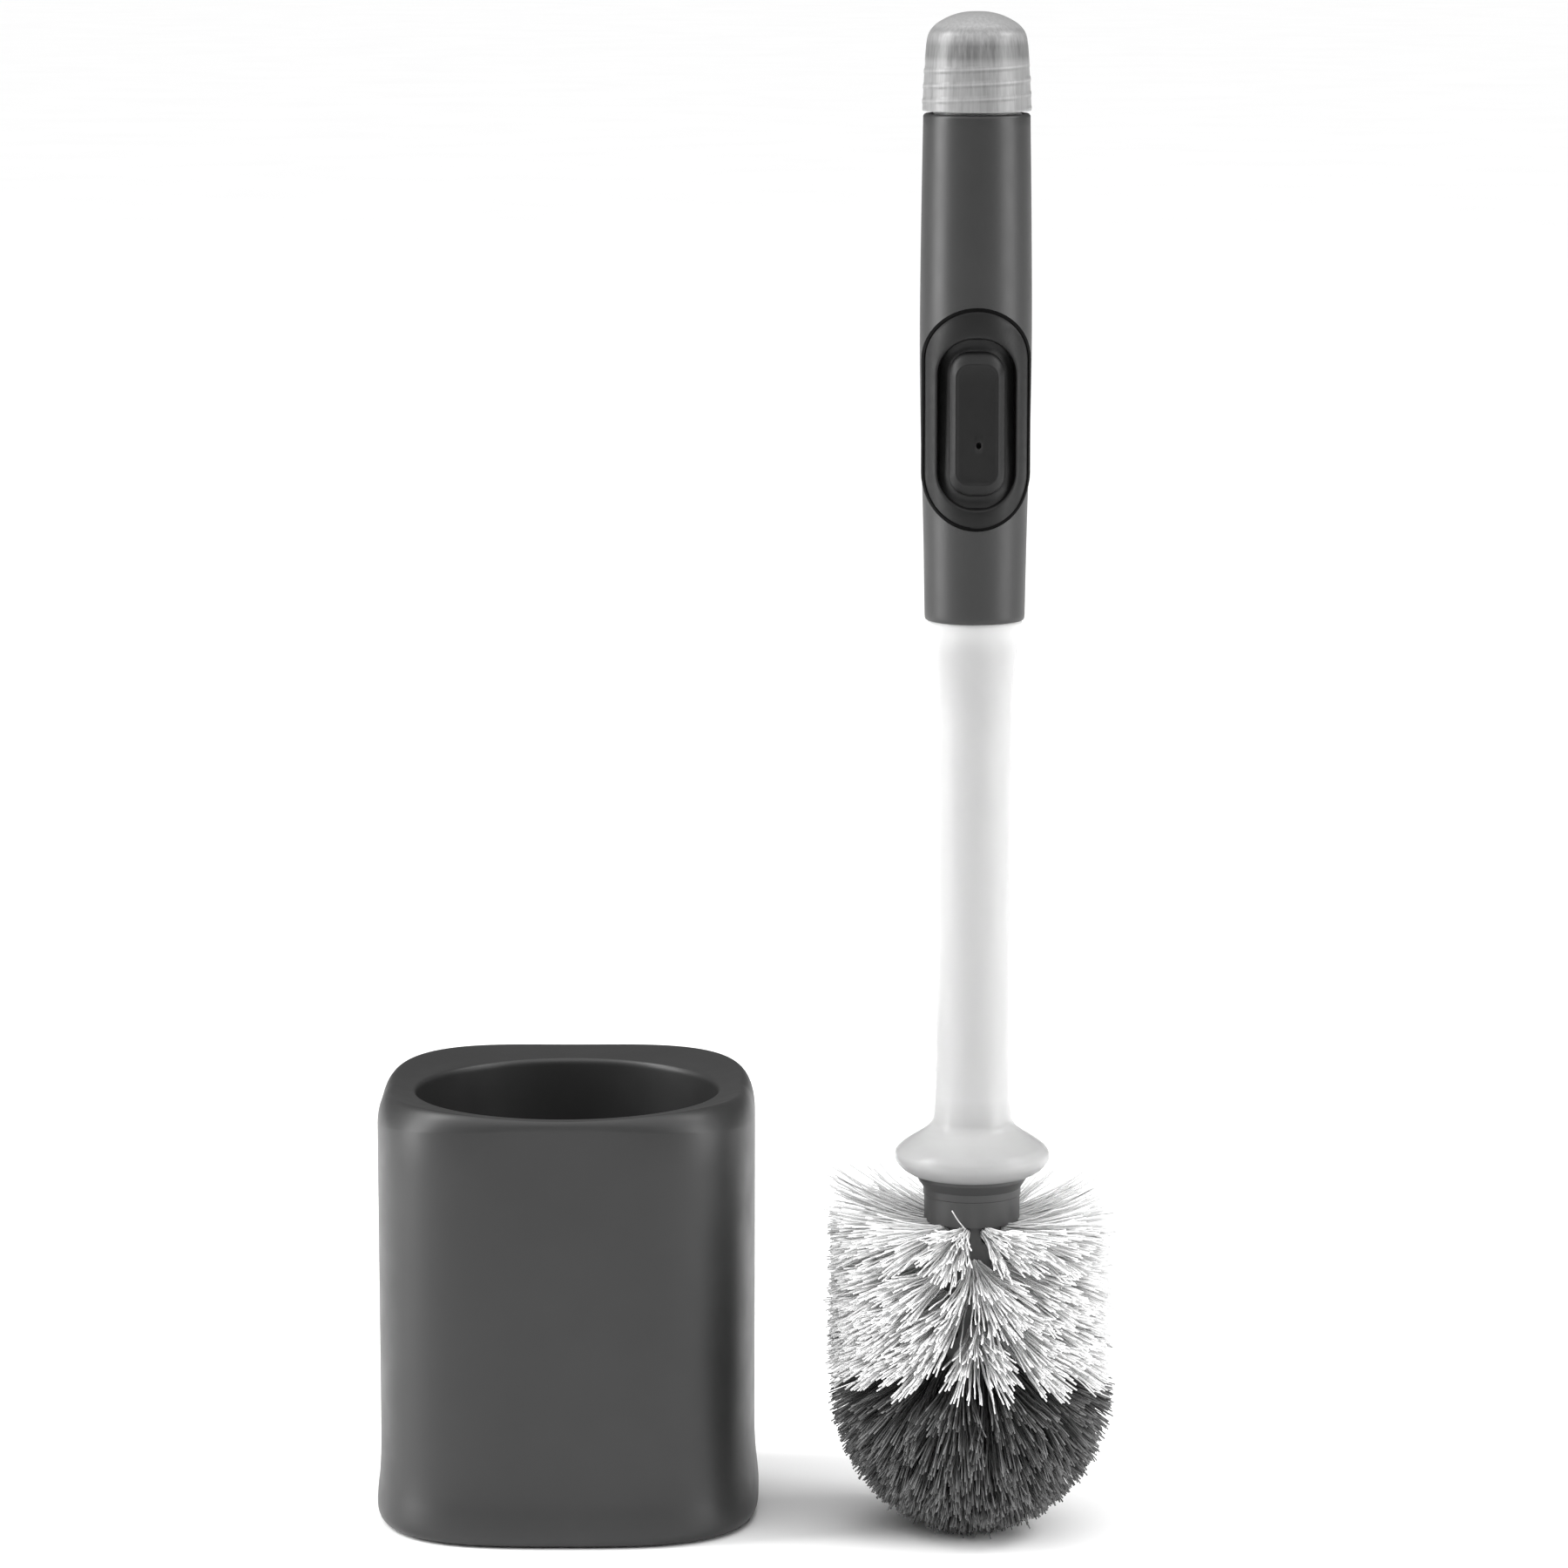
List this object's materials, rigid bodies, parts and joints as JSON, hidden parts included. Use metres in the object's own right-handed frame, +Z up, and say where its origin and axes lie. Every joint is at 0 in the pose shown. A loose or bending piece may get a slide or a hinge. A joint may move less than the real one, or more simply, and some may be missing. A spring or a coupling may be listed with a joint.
{
  "type": "toilet brush and holder set",
  "caption": "Square soft-cornered cup with a round mouth, and beside it a bristle brush with a refillable hollow shaft, screw cap and thumb pump.",
  "frame": {"origin": "centre of the cup's underside, on the surface it stands on", "axes": "+Z up, along the brush's shaft; +X from the cup towards the brush; -Y is the front, where the pump pad faces"},
  "size_m": [0.2074, 0.1261, 0.42],
  "materials": {
    "grey_shell": "fine satin",
    "rubber_pads": "matte",
    "frosted_cap": "frosted, translucent",
    "seal": "matte",
    "grip": "fine satin",
    "pump_silicone": "satin",
    "milky_tube": "milky, translucent",
    "collar": "satin",
    "staple_metal": "bright",
    "white_bristle": "crimped nylon",
    "grey_bristle": "crimped nylon"
  },
  "bodies": {
    "holder": {"holder_shell": "grey_shell", "holder_base": "grey_shell", "base_ring": "rubber_pads"},
    "brush": {"reservoir_tube": "milky_tube", "handle_sleeve": "grip", "pump_seat": "grip", "pump_bezel": "pump_silicone", "pump_membrane": "pump_silicone", "dispensing_valve": "seal", "valve_retainer": "milky_tube", "head_gasket": "seal", "brush_core": "collar", "tuft_staples": "staple_metal", "white_tufts_1": "white_bristle", "white_tufts_2": "white_bristle", "white_tufts_3": "white_bristle", "white_tufts_4": "white_bristle", "grey_tufts_1": "grey_bristle", "grey_tufts_2": "grey_bristle", "grey_tufts_3": "grey_bristle", "grey_tufts_4": "grey_bristle", "grey_tufts_5": "grey_bristle"},
    "cap_liner": {"cap_seal": "seal"},
    "cap": {"filler_cap": "frosted_cap"},
    "pump": {"pump_button": "pump_silicone"}
  },
  "joints": [
    {"name": "brush_lift", "type": "slide", "parent": "holder", "child": "brush", "axis": [0, 0, 1], "range_m": [0, 0.15]},
    {"name": "pump_press", "type": "slide", "parent": "brush", "child": "pump", "axis": [0, 1, 0], "range_m": [0, 0.0025], "stiffness_N_per_m": 1500, "deforming": ["pump_membrane"]},
    {"name": "cap_lift", "type": "slide", "parent": "brush", "child": "cap_liner", "axis": [0, 0, 1], "range_m": [0, 0.0125]},
    {"name": "cap_turn", "type": "hinge", "parent": "cap_liner", "child": "cap", "pos_m": [0.1127, -0.0314, 0.4], "axis": [0, 0, 1], "range_deg": [0, 1080]}
  ],
  "couplings": [
    {"joint": "cap_lift", "follows": "cap_turn", "m_per_rad": 0.00063662}
  ]
}
